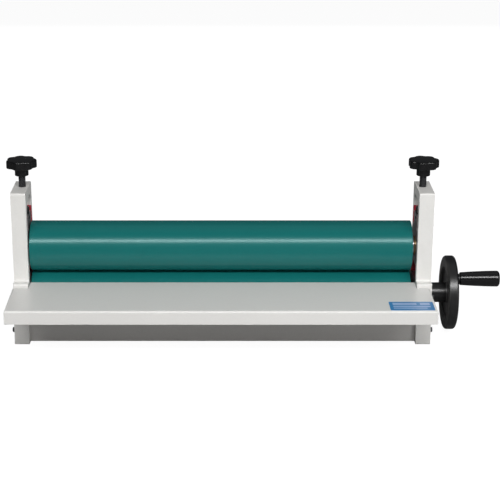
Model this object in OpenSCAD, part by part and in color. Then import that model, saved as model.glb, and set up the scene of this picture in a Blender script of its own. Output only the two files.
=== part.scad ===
// Cold roll laminator, hand cranked, 650 mm class.
// Two rubber rollers lie one above the other between two cast side frames.
// The crank turns the lower roller.  Two knobs on pressure screws raise and
// lower the bearing blocks of the upper roller.
//
// Working coordinates inside machine(): X runs along the rollers with 0 half
// way between the side frames, Y = 0 is the plane of the roller axes with the
// feed table on the -Y side, Z = 0 is the bench.

/* [Rollers] */
// Diameter over the rubber of each roller
roller_d = 85; // [70:1:102]
// Length of the rubber face
face_l = 645; // [400:5:900]
// Thickness of the rubber sleeve
rubber_t = 8; // [4:0.5:10]
// Wall of the steel tube inside the rubber
tube_wall = 4; // [3:0.5:8]
// Gap between the two rubber faces with the nip closed
nip_gap = 0.3; // [0.2:0.1:1]
// Diameter of the journals that run in the bushes
journal_d = 20; // [16:1:22]
// Room between the roller and the side frame at the plain end
plain_end_gap = 2; // [2:0.5:5]
// Room between the roller and the side frame at the drive end
drive_end_gap = 7; // [6:0.5:14]
// Length of each end plug inside the roller tube
plug_l = 30; // [15:1:60]

/* [Side frames] */
// Thickness of each side frame
frame_t = 25; // [25:1:34]
// Front face of the column, measured forwards from the roller axes
column_front = 45; // [42:1:60]
// Back face of the column, measured backwards from the roller axes
column_back = 35; // [35:1:60]
// Base ledge outside the outer face of each cross panel
base_margin = 1; // [0.5:0.5:8]
// How far the base spreads further out at the bench
foot_flare = 10; // [0:1:20]
// Height of the base ledge above the feed table
ledge_h = 6; // [3:0.5:12]
// Height of the relief between the two foot pads
foot_relief_h = 6; // [3:0.5:8]
// Length of each foot pad
foot_pad = 32; // [20:1:45]
// Metal left above the bearing pocket
top_web = 18; // [12:1:24]
// Metal left between the bearing pocket and the outer face
pocket_wall = 4; // [4:0.5:6]
// Width of the bearing pocket
pocket_w = 60; // [60:1:66]
// Radius of the upper corners of the bearing pocket
pocket_r = 23; // [12:1:24]

/* [Bearing blocks] */
// Lower block below the roller axis
lower_block_below = 31; // [29:1:36]
// Lower block above the roller axis
lower_block_above = 30; // [22:1:34]
// Setback of the blocks' inner faces from the side frame's
block_inset = 0.3; // [0.2:0.1:1]
// Clearance on each side of a sliding block
slide_gap = 0.15; // [0.1:0.05:0.3]
// Thickness of the guide strips beside the upper blocks
strip_t = 2; // [1.5:0.5:3]
// Wall of the bronze bushes
bush_wall = 3; // [2:0.5:4]
// Thickness of the bush flange
flange_t = 1.5; // [1:0.5:1.5]
// How far the bush flange stands out past the bush
flange_rim = 3; // [2:0.5:4]
// Radial running clearance of every shaft
run_gap = 0.05; // [0.02:0.01:0.09]
// Upper block below the roller axis
block_below = 28; // [24:1:34]
// Upper block above the roller axis, without its head
block_above = 34; // [28:1:40]
// Width of the head that the pressure screw pulls on
head_w = 36; // [30:1:40]
// Height of the head above the block body
head_h = 23; // [20:1:30]
// Thickness of the plate at the top of the head
plate_t = 4; // [3:0.5:6]

/* [Pressure screws] */
// Travel of the upper roller from closed to fully open
lift = 18; // [8:1:24]
// Diameter of the pressure screws
screw_d = 12; // [10:1:14]
// Width of the two collars on each screw
collar_w = 4.25; // [1.5:0.25:4.5]
// Axial clearance of the collars on the plate
collar_gap = 0.1; // [0.05:0.05:0.3]
// Height of the collar above the plate
upper_collar_h = 11; // [6:0.5:14]
// Height of the collar under the plate
lower_collar_h = 5; // [4:0.5:6]
// Thread left showing between the frame and the knob, nip closed
screw_show = 19.4; // [6:0.2:30]

/* [Knobs] */
// Diameter over the lobes
knob_d = 52; // [40:1:60]
// Number of lobes
knob_lobes = 7; // [5:1:9]
// Radius of each lobe
lobe_r = 8.6; // [6:0.2:10]
// How far the lobes stand out of the round core
lobe_depth = 3.3; // [2:0.1:5]
// Thickness of the lobed head
knob_head_h = 14; // [10:0.5:20]
// Diameter of the hub under the head
knob_hub_d = 23; // [20:1:30]
// Height of the hub under the head
knob_hub_h = 14; // [8:0.5:20]
// Solid left in the head above the screw's end
knob_cap = 10; // [6:0.5:12]

/* [Feed table] */
// Front edge of the table, measured forwards from the roller axes
table_reach = 172; // [140:1:220]
// Overhang of the table past the outer face of each side frame
table_overhang = 1; // [0:0.5:4]
// How much shorter the table is at its right end, on the handwheel's side
table_trim = 5; // [0:0.5:8]
// Thickness of the table sheet
table_t = 2; // [1.5:0.5:3]
// Depth of the flange bent down round the table
lip_h = 23; // [18:1:32]
// Outer radius of the front bend
bend_r = 3.5; // [3:0.5:6]
// Nip line above the table top
nip_above_table = 12.5; // [10:0.5:16]
// Gap between the table's back edge and the lower roller
edge_gap = 4; // [3:0.5:8]
// Side frame to the outermost studs, along the table
stud_inset = 47; // [30:1:80]
// Width of the label
label_w = 72; // [30:1:90]
// Depth of the label
label_d = 39; // [20:1:50]
// Thickness of the label
label_t = 0.3; // [0.2:0.1:0.5]
// Label to the side and front edges of the table
label_inset = 4.5; // [3:0.5:12]

/* [Cross panels] */
// Thickness of the panel sheet
panel_t = 3; // [2:0.5:4]
// Clearance between the lower roller and the panels' tabs
panel_room = 3.5; // [2:0.5:8]
// Width of the end tabs and of the rear panel's upper flange
tab_w = 10; // [9:0.5:11]
// Width of the flange that carries the table
shelf_w = 36; // [25:1:50]
// Centre of each tab screw from the panel's upper or lower edge
tab_screw_inset = 18; // [14:1:26]
// Gap between the panels and the bench
panel_lift = 2; // [1:0.5:8]

/* [Handwheel and crank] */
// Diameter of the handwheel
wheel_d = 127; // [100:1:160]
// Bench to the underside of the handwheel
wheel_clear = 5.5; // [4:0.5:20]
// Width of the rim
rim_w = 18; // [14:0.5:24]
// Radial depth of the rim
rim_depth = 22; // [18:1:26]
// Thickness of the web
web_t = 8; // [6:0.5:10]
// Outer face of the side frame to the inner face of the rim
wheel_standoff = 29; // [24:1:40]
// Diameter of the hub
hub_d = 35; // [30:1:44]
// Diameter of the wheel seat on the drive shaft
seat_d = 16; // [14:1:16]
// Width and height of the key
key_w = 5; // [4:0.5:5]
// Length of the key
key_l = 20; // [12:1:24]
// Distance of the crank's axis inside the middle of the rim
crank_inset = 3.5; // [0:0.5:4]
// Angle of the crank in the rest position, from the back upwards
crank_angle = 132; // [0:1:359]
// Length of the grip
grip_l = 67; // [50:1:90]
// Diameter of the grip next to the wheel
grip_d1 = 21; // [18:0.5:24]
// Diameter of the grip at its free end
grip_d2 = 27; // [20:0.5:32]
// Diameter of the crank spindle
spindle_d = 8; // [6:0.5:9]
// Gap between the grip and the wheel
grip_gap = 3; // [2:0.5:6]
// Endwise play of the grip on its spindle
grip_play = 0.4; // [0.2:0.1:0.8]

/* [Fasteners] */
// Thread diameter of the panel and table fasteners
m5 = 5; // [4:0.5:6]
// Thread diameter of the block and wheel screws
m6 = 6; // [5:0.5:6]
// Radial clearance of a screw in its hole
hole_gap = 0.25; // [0.2:0.05:0.5]
// Clearance all round between pieces that are assembled by hand
seat_gap = 0.05; // [0.02:0.01:0.1]
// Thread showing past each nut
thread_show = 2; // [1:0.5:3]
// Length of the screw that holds the handwheel
wheel_screw_l = 15; // [12:1:20]

/* [Hidden] */
$fn = 96;
eps = 0.01;

// Heights
lower_z = wheel_d / 2 + wheel_clear;
upper_z = lower_z + roller_d + nip_gap;
table_z = lower_z + roller_d / 2 - nip_above_table;
ledge_z = table_z + ledge_h;
head_z = upper_z + block_above + head_h;
open_gap = 0.6;
pocket_top = head_z + collar_gap + upper_collar_h + lift + open_gap;
pocket_floor = lower_z - lower_block_below;
shaft_room = 2;
column_h = pocket_top + top_web;
knob_z = column_h + screw_show;
screw_in_knob = knob_hub_h + knob_head_h - knob_cap;

// Distances along the rollers
end_room = 1;
collar_d = screw_d + 2 * collar_w;
inner_x = (face_l + plain_end_gap + drive_end_gap) / 2;
outer_x = inner_x + frame_t;
pocket_x = outer_x - pocket_wall;
block_x = inner_x + block_inset;
block_t = pocket_x - block_inset - block_x;
collar_room = 0.5;
screw_x = min(inner_x + frame_t / 2, pocket_x - collar_room - collar_d / 2);
roller_x = (plain_end_gap - drive_end_gap) / 2;
spacer_l = drive_end_gap - plain_end_gap;
table_x = outer_x + table_overhang;
table_right = table_x - table_trim;
rim_x = outer_x + wheel_standoff;
hub_x = outer_x + 1.2;
hub_recess = 4;
hub_l = rim_x + rim_w - hub_recess - hub_x;
key_x = hub_x + 6;
grip_x = rim_x + rim_w + grip_gap;

// Distances across the rollers
panel_y = roller_d / 2 + panel_room + tab_w + panel_t;
base_half = panel_y + base_margin;
base_front = base_half + foot_flare * (ledge_z - table_z + lip_h) / ledge_z;
tongue_y = sqrt(pow(roller_d / 2, 2) - pow(table_z - lower_z, 2)) + edge_gap;
notch_y = base_front + 0.7;
panel_top = table_z - table_t;
tab_screw_y = panel_y - panel_t - tab_w / 2;
stud_y = panel_y + shelf_w / 2;
stud_xs = [-1, -1 / 3, 1 / 3, 1] * (inner_x - stud_inset);
tab_screw_zs = [panel_lift + tab_screw_inset, panel_top - tab_screw_inset];
tab_inset = 6;
shelf_inset = 2;
block_screw_y = pocket_w / 2 - 9;

// Bushes, wheel and crank
bore_d = journal_d + 2 * run_gap;
bush_d = bore_d + 2 * bush_wall;
flange_d = bush_d + 2 * flange_rim;
web_dish = 1;
web_overlap = 6;
crank_r = (wheel_d - rim_depth) / 2 - crank_inset;
button_d = spindle_d + 6;
button_h = 4;
button_recess = 8;
button_x = grip_x + grip_l - button_recess + grip_play;
washer_t = 1.6;
washer_d = 22;

// Fastener heads and nuts
m5_head_d = 1.7 * m5;
m5_head_h = m5;
m5_socket = 0.8 * m5;
m5_nut_af = 1.6 * m5;
m5_nut_h = 0.8 * m5;
m6_head_d = 1.8 * m6;
m6_head_h = 0.6 * m6;
m6_socket = 0.7 * m6;
stud_l = panel_t + m5_nut_h + thread_show;
block_screw_l = 10;

// The origin is under the middle of the whole outline, on the bench
outline_left = max(screw_x + knob_d / 2, outer_x + m5_head_h, table_x);
outline_back = max(base_half + foot_flare, wheel_d / 2);
outline_x = (grip_x + grip_l - outline_left) / 2;
outline_y = (outline_back - table_reach) / 2;

// ---- helpers ----------------------------------------------------------

module machine() {
    translate([-outline_x, -outline_y, 0]) children();
}

// The same piece on the left
module left() {
    mirror([1, 0, 0]) children();
}

// A plate of thickness t standing across X; its outline is drawn as (Y, Z)
module slab(x, t) {
    translate([x, 0, 0]) rotate([90, 0, 90]) linear_extrude(t) children();
}

// A round bar along X from x, on the line (y, z)
module bar(x, l, d, y = 0, z = 0) {
    translate([x, y, z]) rotate([0, 90, 0]) cylinder(h = l, d = d);
}

// A body turned about the X axis; its outline is drawn as (radius, X)
module turned(z) {
    translate([0, 0, z]) rotate([0, 90, 0]) rotate_extrude() children();
}

module round_rect(w, h, r) {
    translate([r, 0]) square([w - 2 * r, h]);
    translate([0, r]) square([w, h - 2 * r]);
    for (x = [r, w - r], y = [r, h - r]) translate([x, y]) circle(r);
}

module hex_nut(af, h, hole_d) {
    difference() {
        cylinder(h = h, d = af / cos(30), $fn = 6);
        translate([0, 0, -1]) cylinder(h = h + 2, d = hole_d);
    }
}

// Socket head screw along X, its head on the +X side and seated at x
module socket_screw(x, l, d, head_d, head_h, socket) {
    difference() {
        union() {
            bar(x - l, l + eps, d);
            bar(x, head_h, head_d);
        }
        translate([x + head_h / 2, 0, 0]) rotate([0, 90, 0])
            cylinder(h = head_h, d = socket / cos(30), $fn = 6);
    }
}

// ---- side frames ------------------------------------------------------

module frame_outline() {
    foot = base_half + foot_flare;
    relief_r = foot_relief_h - 2;
    difference() {
        union() {
            polygon([[-foot, 0], [foot, 0], [base_half, ledge_z], [-base_half, ledge_z]]);
            translate([-column_front, 0]) square([column_front + column_back, column_h]);
        }
        translate([-(foot - foot_pad), -foot_relief_h])
            round_rect(2 * (foot - foot_pad), 2 * foot_relief_h, relief_r);
    }
}

module pocket_outline() {
    side = pocket_w / 2;
    translate([-side, pocket_floor]) square([pocket_w, pocket_top - pocket_r - pocket_floor]);
    translate([pocket_r - side, pocket_floor])
        square([pocket_w - 2 * pocket_r, pocket_top - pocket_floor]);
    for (y = [pocket_r - side, side - pocket_r])
        translate([y, pocket_top - pocket_r]) circle(pocket_r);
}

module side_frame() {
    difference() {
        slab(inner_x, frame_t) frame_outline();
        slab(inner_x - 1, frame_t + 1 - pocket_wall) pocket_outline();
        translate([screw_x, 0, pocket_top - 1])
            cylinder(h = top_web + 2, d = screw_d + 2 * run_gap);
        for (y = [-tab_screw_y, tab_screw_y], z = tab_screw_zs)
            bar(inner_x - 1, frame_t + 2, m5 + 2 * hole_gap, y, z);
        for (y = [-block_screw_y, block_screw_y])
            bar(pocket_x - 1, pocket_wall + 2, m6 + 2 * hole_gap, y, lower_z - block_screw_y);
    }
}

module left_side_frame() {
    color("gainsboro") machine() left() side_frame();
}

module right_side_frame() {
    color("gainsboro") machine() difference() {
        side_frame();
        bar(pocket_x - 1, pocket_wall + 2, journal_d + 2 * shaft_room, 0, lower_z);
    }
}

// ---- cross panels -----------------------------------------------------

// Web with a tab at each end, lying on the -Y side
module panel_web() {
    h = panel_top - panel_lift;
    difference() {
        union() {
            translate([-inner_x, -panel_y, panel_lift]) cube([2 * inner_x, panel_t, h]);
            for (x = [-inner_x, inner_x - panel_t])
                translate([x, -panel_y, panel_lift + tab_inset])
                    cube([panel_t, panel_t + tab_w, h - 2 * tab_inset]);
        }
        for (z = tab_screw_zs)
            bar(-inner_x - 1, 2 * inner_x + 2, m5 + 2 * hole_gap, -tab_screw_y, z);
    }
}

// Flange along the panel's upper edge, from y towards the +Y side
module panel_flange(y, w) {
    translate([shelf_inset - inner_x, y, panel_top - panel_t])
        cube([2 * (inner_x - shelf_inset), w, panel_t]);
}

module front_cross_panel() {
    color("silver") machine() {
        panel_web();
        difference() {
            panel_flange(-panel_y - shelf_w, shelf_w + eps);
            for (x = stud_xs) translate([x, -stud_y, panel_top - 2 * panel_t])
                cylinder(h = 3 * panel_t, d = m5 + 2 * hole_gap);
        }
    }
}

module rear_cross_panel() {
    color("silver") machine() mirror([0, 1, 0]) {
        panel_web();
        panel_flange(-panel_y + panel_t - eps, tab_w);
    }
}

module at_tab_screws() {
    for (y = [-tab_screw_y, tab_screw_y], z = tab_screw_zs) translate([0, y, z]) {
        children();
        left() children();
    }
}

module cross_panel_screws() {
    l = frame_t + panel_t + m5_nut_h + thread_show;
    color("dimgray") machine() at_tab_screws()
        socket_screw(outer_x, l, m5, m5_head_d, m5_head_h, m5_socket);
}

module cross_panel_nuts() {
    color("silver") machine() at_tab_screws()
        translate([inner_x - panel_t - m5_nut_h, 0, 0]) rotate([0, 90, 0])
            hex_nut(m5_nut_af, m5_nut_h, m5 + 2 * seat_gap);
}

// ---- feed table -------------------------------------------------------

// Section of the sheet from y1 forward to the lip, drawn as (Y, Z)
module table_section(y1) {
    corner = [-table_reach + bend_r, table_z - bend_r];
    translate([-table_reach + bend_r, table_z - table_t])
        square([table_reach - bend_r - y1, table_t]);
    translate([-table_reach, table_z - lip_h]) square([table_t, lip_h - bend_r]);
    intersection() {
        translate(corner) difference() {
            circle(bend_r);
            circle(bend_r - table_t);
        }
        translate([-table_reach, table_z - bend_r]) square(bend_r);
    }
}

module feed_table() {
    tongue_x = inner_x - end_room;
    color("gainsboro") machine() {
        slab(-table_x, table_right + table_x) table_section(notch_y);
        translate([-tongue_x, -notch_y - 1, table_z - table_t])
            cube([2 * tongue_x, notch_y + 1 - tongue_y, table_t]);
        for (x = [-table_x, table_right - table_t])
            translate([x, -table_reach + table_t / 2, table_z - lip_h])
                cube([table_t, table_reach - table_t / 2 - notch_y, lip_h - bend_r]);
        for (x = [-table_x, table_right - table_t])
            translate([x, -table_reach + bend_r, table_z - bend_r - eps])
                cube([table_t, table_reach - bend_r - notch_y, bend_r - table_t + 2 * eps]);
        for (x = stud_xs) translate([x, -stud_y, panel_top - stud_l])
            cylinder(h = stud_l + table_t / 2, d = m5);
    }
}

module feed_table_nuts() {
    color("silver") machine() for (x = stud_xs)
        translate([x, -stud_y, panel_top - panel_t - m5_nut_h])
            hex_nut(m5_nut_af, m5_nut_h, m5 + 2 * seat_gap);
}

module feed_table_label() {
    color("steelblue") machine()
        translate([table_right - label_inset - label_w, label_inset - table_reach, table_z])
            cube([label_w, label_d, label_t]);
}

// ---- bearing blocks ---------------------------------------------------

module bush_hole(z) {
    bar(block_x - 1, pocket_x - block_x + 2, bush_d, 0, z);
}

// Flanged bush; the flange is on the roller side
module bush(z) {
    difference() {
        union() {
            bar(block_x - flange_t, block_t + flange_t, bush_d, 0, z);
            bar(block_x - flange_t, flange_t, flange_d, 0, z);
        }
        bar(block_x - flange_t - 1, block_t + flange_t + 2, bore_d, 0, z);
    }
}

module at_block_screws() {
    for (y = [-block_screw_y, block_screw_y])
        translate([0, y, lower_z - block_screw_y]) children();
}

module lower_block() {
    w = pocket_w - 2 * seat_gap;
    difference() {
        translate([block_x, -w / 2, pocket_floor])
            cube([pocket_x - block_x, w, lower_block_below + lower_block_above]);
        bush_hole(lower_z);
        at_block_screws()
            bar(pocket_x - block_screw_l - 2, block_screw_l + 3, m6 + 2 * seat_gap);
    }
}

module left_lower_block() {
    color("slategray") machine() left() lower_block();
}

module right_lower_block() {
    color("slategray") machine() lower_block();
}

module left_lower_bush() {
    color("peru") machine() left() bush(lower_z);
}

module right_lower_bush() {
    color("peru") machine() bush(lower_z);
}

module lower_block_screw_pair() {
    at_block_screws() socket_screw(outer_x, pocket_wall + block_screw_l, m6, m6_head_d,
        m6_head_h, m6_socket);
}

module lower_block_screws() {
    color("dimgray") machine() {
        lower_block_screw_pair();
        left() lower_block_screw_pair();
    }
}

// The two strips that the upper block slides between, standing on the lower block
module guide_strips() {
    z = lower_z + lower_block_above;
    for (y = [-pocket_w / 2, pocket_w / 2 - strip_t]) translate([block_x, y, z])
        cube([block_t, strip_t, pocket_top - pocket_r - end_room - z]);
}

module left_guide_strips() {
    color("crimson") machine() left() guide_strips();
}

module right_guide_strips() {
    color("crimson") machine() guide_strips();
}

module upper_block() {
    w = pocket_w - 2 * strip_t - 2 * slide_gap;
    window_w = collar_d + 2 * collar_room;
    window_h = lower_collar_h + 2 * collar_gap + 3 * collar_room;
    plate_hole_gap = 0.3;
    difference() {
        union() {
            translate([block_x, -w / 2, upper_z - block_below])
                cube([block_t, w, block_below + block_above]);
            translate([block_x, -head_w / 2, upper_z]) cube([block_t, head_w, head_z - upper_z]);
        }
        bush_hole(upper_z);
        translate([block_x - 1, -window_w / 2, head_z - plate_t - window_h])
            cube([block_t + 2, window_w, window_h]);
        translate([screw_x, 0, head_z - plate_t - 1])
            cylinder(h = plate_t + 2, d = screw_d + 2 * plate_hole_gap);
    }
}

module left_upper_block() {
    color("slategray") machine() left() upper_block();
}

module right_upper_block() {
    color("slategray") machine() upper_block();
}

module left_upper_bush() {
    color("peru") machine() left() bush(upper_z);
}

module right_upper_bush() {
    color("peru") machine() bush(upper_z);
}

// ---- rollers ----------------------------------------------------------

module roller_rubber(z) {
    difference() {
        bar(roller_x - face_l / 2, face_l, roller_d, 0, z);
        bar(roller_x - face_l / 2 - 1, face_l + 2, roller_d - 2 * rubber_t, 0, z);
    }
}

module roller_tube(z) {
    d = roller_d - 2 * rubber_t;
    difference() {
        bar(roller_x - face_l / 2, face_l, d, 0, z);
        bar(roller_x - face_l / 2 - 1, face_l + 2, d - 2 * tube_wall, 0, z);
    }
}

// End plug with its journal, at the +X end of a roller whose end is at x
module journal(x, z) {
    d = roller_d - 2 * rubber_t - 2 * tube_wall - 2 * seat_gap;
    bar(x - plug_l, plug_l, d, 0, z);
    bar(x - eps, pocket_x - end_room - x + eps, journal_d, 0, z);
}

// Ring that fills the wider gap at the drive end
module spacer(z) {
    x = roller_x + face_l / 2;
    difference() {
        bar(x, spacer_l, flange_d, 0, z);
        bar(x - 1, spacer_l + 2, journal_d + 2 * seat_gap, 0, z);
    }
}

module upper_roller_rubber() {
    color("teal") machine() roller_rubber(upper_z);
}

module upper_roller_tube() {
    color("silver") machine() roller_tube(upper_z);
}

module upper_left_journal() {
    color("silver") machine() left() journal(face_l / 2 - roller_x, upper_z);
}

module upper_right_journal() {
    color("silver") machine() journal(roller_x + face_l / 2, upper_z);
}

module upper_spacer() {
    color("gray") machine() spacer(upper_z);
}

module lower_roller_rubber() {
    color("teal") machine() roller_rubber(lower_z);
}

module lower_roller_tube() {
    color("silver") machine() roller_tube(lower_z);
}

module lower_left_journal() {
    color("silver") machine() left() journal(face_l / 2 - roller_x, lower_z);
}

module lower_spacer() {
    color("gray") machine() spacer(lower_z);
}

module key_slot(gap) {
    translate([key_x - gap, -key_w / 2 - gap, lower_z + seat_d / 2 - key_w / 2])
        cube([key_l + 2 * gap, key_w + 2 * gap, key_w + gap]);
}

// The lower roller's drive end runs out through the frame to the handwheel
module drive_shaft() {
    end_x = hub_x + hub_l - end_room;
    color("silver") machine() difference() {
        union() {
            journal(roller_x + face_l / 2, lower_z);
            bar(pocket_x - 2 * end_room, hub_x + 2 * end_room - pocket_x, journal_d, 0,
                lower_z);
            bar(hub_x - eps, end_x - hub_x, seat_d, 0, lower_z);
        }
        key_slot(seat_gap);
        bar(end_x - wheel_screw_l, wheel_screw_l + 1, m6 + 2 * seat_gap, 0, lower_z);
    }
}

// ---- handwheel and crank ----------------------------------------------

// Section of the wheel, drawn as (radius, X)
module wheel_section() {
    rim_in = wheel_d / 2 - rim_depth;
    rim_round = 5;
    web_x = rim_x + (rim_w - web_t) / 2;
    translate([rim_in, rim_x]) round_rect(rim_depth, rim_w, rim_round);
    polygon([[hub_d / 2 - web_dish, web_x], [rim_in + web_overlap, web_x - web_dish],
        [rim_in + web_overlap, web_x + web_t - web_dish],
        [hub_d / 2 - web_dish, web_x + web_t]]);
    translate([seat_d / 2 + seat_gap, hub_x]) square([(hub_d - seat_d) / 2 - seat_gap, hub_l]);
}

module at_crank() {
    translate([0, crank_r * cos(crank_angle), lower_z + crank_r * sin(crank_angle)])
        children();
}

module handwheel() {
    color("black") machine() difference() {
        turned(lower_z) wheel_section();
        key_slot(seat_gap);
        at_crank() bar(rim_x - 1, rim_w + 2, spindle_d + 2 * seat_gap);
    }
}

module handwheel_key() {
    color("silver") machine() translate([key_x, -key_w / 2, lower_z + seat_d / 2 - key_w / 2])
        cube([key_l, key_w, key_w]);
}

module handwheel_washer() {
    color("silver") machine() difference() {
        bar(hub_x + hub_l, washer_t, washer_d, 0, lower_z);
        bar(hub_x + hub_l - 1, washer_t + 2, m6 + 2 * hole_gap, 0, lower_z);
    }
}

module handwheel_screw() {
    color("dimgray") machine() translate([0, 0, lower_z])
        socket_screw(hub_x + hub_l + washer_t, wheel_screw_l, m6, m6_head_d, m6, m6_socket);
}

// Shoulder bolt: through the rim, a collar at its foot, a button in the grip's end
module crank_spindle() {
    x = rim_x + end_room;
    color("silver") machine() at_crank() {
        bar(x, button_x + button_h / 2 - x, spindle_d);
        bar(rim_x + rim_w, grip_gap - grip_play, grip_d1 - 5);
        bar(button_x, button_h, button_d);
    }
}

module crank_grip() {
    r1 = grip_d1 / 2;
    r2 = grip_d2 / 2;
    bore = spindle_d / 2 + run_gap;
    recess_r = button_d / 2 + 1;
    chamfer = 1.5;
    end_round = min(5, r2 - recess_r - 0.5);
    end_x = grip_x + grip_l - end_round;
    color("black") machine() at_crank() turned(0) difference() {
        union() {
            polygon([[0, grip_x], [r1 - chamfer, grip_x], [r1, grip_x + chamfer],
                [r2, end_x], [0, end_x]]);
            translate([0, end_x - eps]) intersection() {
                union() {
                    square([r2 - end_round, end_round + eps]);
                    translate([r2 - end_round, 0]) circle(end_round);
                }
                square([r2, end_round + eps]);
            }
        }
        translate([-1, grip_x - 1]) square([bore + 1, grip_l + 2]);
        translate([-1, grip_x + grip_l - button_recess])
            square([recess_r + 1, button_recess + 1]);
    }
}

// ---- pressure screws and knobs ----------------------------------------

module pressure_screw() {
    z = head_z - plate_t - collar_gap - lower_collar_h;
    translate([screw_x, 0, z]) cylinder(h = knob_z + screw_in_knob - z, d = screw_d);
}

module thrust_collar(z, h) {
    translate([screw_x, 0, z]) difference() {
        cylinder(h = h, d = collar_d);
        translate([0, 0, -1]) cylinder(h = h + 2, d = screw_d + 2 * seat_gap);
    }
}

module thrust_collars() {
    thrust_collar(head_z + collar_gap, upper_collar_h);
    thrust_collar(head_z - plate_t - collar_gap - lower_collar_h, lower_collar_h);
}

module knob() {
    translate([screw_x, 0, knob_z]) difference() {
        union() {
            cylinder(h = knob_hub_h + eps, d = knob_hub_d);
            translate([0, 0, knob_hub_h]) linear_extrude(knob_head_h) {
                circle(d = knob_d - 2 * lobe_depth);
                for (i = [0:knob_lobes - 1]) rotate(i * 360 / knob_lobes)
                    translate([knob_d / 2 - lobe_r, 0]) circle(lobe_r);
            }
        }
        translate([0, 0, -1])
            cylinder(h = screw_in_knob + 1.5, d = screw_d + 2 * seat_gap);
    }
}

module left_pressure_screw() {
    color("dimgray") machine() left() pressure_screw();
}

module left_thrust_collars() {
    color("dimgray") machine() left() thrust_collars();
}

module left_knob() {
    color("black") machine() left() knob();
}

module right_pressure_screw() {
    color("dimgray") machine() pressure_screw();
}

module right_thrust_collars() {
    color("dimgray") machine() thrust_collars();
}

module right_knob() {
    color("black") machine() knob();
}

left_side_frame();
right_side_frame();
front_cross_panel();
rear_cross_panel();
cross_panel_screws();
cross_panel_nuts();
feed_table();
feed_table_nuts();
feed_table_label();
left_lower_block();
right_lower_block();
left_lower_bush();
right_lower_bush();
lower_block_screws();
left_guide_strips();
right_guide_strips();
left_upper_block();
right_upper_block();
left_upper_bush();
right_upper_bush();
upper_roller_rubber();
upper_roller_tube();
upper_left_journal();
upper_right_journal();
upper_spacer();
lower_roller_rubber();
lower_roller_tube();
lower_left_journal();
drive_shaft();
lower_spacer();
handwheel();
handwheel_key();
handwheel_washer();
handwheel_screw();
crank_spindle();
crank_grip();
left_pressure_screw();
left_thrust_collars();
left_knob();
right_pressure_screw();
right_thrust_collars();
right_knob();
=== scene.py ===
# %% [markdown]
# # A hand-cranked cold roll laminator
#
# This lesson dresses a finished engineering model in real shapes and finishes.
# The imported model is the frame: it says where every part sits and how it moves.
# Each visible part is then either kept with a better finish, or replaced by a
# piece with the rounded edges, threads and bends of the real one.

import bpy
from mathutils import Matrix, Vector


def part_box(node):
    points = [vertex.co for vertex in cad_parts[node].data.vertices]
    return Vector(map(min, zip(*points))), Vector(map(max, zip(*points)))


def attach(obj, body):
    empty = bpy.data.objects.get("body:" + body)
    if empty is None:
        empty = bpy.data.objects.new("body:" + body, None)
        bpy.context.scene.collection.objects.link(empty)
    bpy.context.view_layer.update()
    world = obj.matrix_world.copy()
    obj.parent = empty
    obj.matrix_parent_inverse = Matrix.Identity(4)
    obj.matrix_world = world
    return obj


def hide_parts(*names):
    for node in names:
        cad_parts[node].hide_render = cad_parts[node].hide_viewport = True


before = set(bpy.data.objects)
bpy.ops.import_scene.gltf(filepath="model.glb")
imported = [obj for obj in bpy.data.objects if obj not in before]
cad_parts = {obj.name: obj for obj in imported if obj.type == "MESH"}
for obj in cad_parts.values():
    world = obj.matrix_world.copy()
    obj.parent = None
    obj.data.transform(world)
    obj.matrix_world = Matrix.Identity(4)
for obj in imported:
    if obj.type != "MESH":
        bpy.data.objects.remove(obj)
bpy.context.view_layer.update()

# %% [markdown]
# ## Where things are
#
# Drawings of a machine are easiest to follow when they start from its own
# middle. Here x = 0 is half way between the side frames, y = 0 is the plane of
# the two roller axes, z = 0 is the bench, and everything is in millimetres. The
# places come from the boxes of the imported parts.

# %% The machine's own middle
import math
import bpy
import bmesh
from mathutils import Vector

MM = 0.001
left_low, left_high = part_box("left_side_frame")
right_low, right_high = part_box("right_side_frame")
rubber_low, rubber_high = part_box("lower_roller_rubber")
upper_low, upper_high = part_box("upper_roller_rubber")
middle = Vector(((left_low.x + right_high.x) / 2, (rubber_low.y + rubber_high.y) / 2, 0))


def size_mm(a, b):
    """A distance between two packed coordinates, in millimetres."""
    return (b - a) / MM


inner_x = size_mm(left_high.x, right_low.x) / 2
outer_x = size_mm(left_low.x, right_high.x) / 2
lower_z = (rubber_low.z + rubber_high.z) / 2 / MM
upper_z = (upper_low.z + upper_high.z) / 2 / MM
roller_r = size_mm(rubber_low.y, rubber_high.y) / 2
print("between the frames %.1f mm, rollers at %.1f and %.1f mm, radius %.1f mm"
      % (2 * inner_x, lower_z, upper_z, roller_r))


def x_of(node):
    """Where a node starts and ends along x, measured from the middle."""
    low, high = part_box(node)
    return size_mm(middle.x, low.x), size_mm(middle.x, high.x)


def y_of(node):
    low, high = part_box(node)
    return size_mm(middle.y, low.y), size_mm(middle.y, high.y)


def z_of(node):
    low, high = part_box(node)
    return low.z / MM, high.z / MM


# %% [markdown]
# ## Camera
#
# The machine is seen from the front and a little above, from well back. A long
# lens keeps the two side frames nearly upright. The lens is shifted sideways a
# little because the crank makes the machine longer on one side.

# %% Set the camera
camera_data = bpy.data.cameras.new("camera")
camera_data.sensor_width = 36
camera_data.lens = 107.35
camera_data.shift_x = 0.055
camera = bpy.data.objects.new("camera", camera_data)
camera.location = middle + Vector((0, -2.416, 0.954))
camera.rotation_euler = (math.radians(90 - 18.5), 0, 0)
bpy.context.scene.collection.objects.link(camera)
bpy.context.scene.camera = camera
bpy.context.scene.view_settings.view_transform = "Standard"

# %% [markdown]
# ## Studio
#
# A pale floor without an edge in view and large soft lamps. One long, narrow
# lamp high in front draws the thin bright line that a smooth roller shows. The
# front lamp is the strongest, so upright faces come out lighter than level ones.
#
# The floor's glow and the white room are seen by the camera only. The low lamp
# and the back lamp are left out of mirror reflections.

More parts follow.
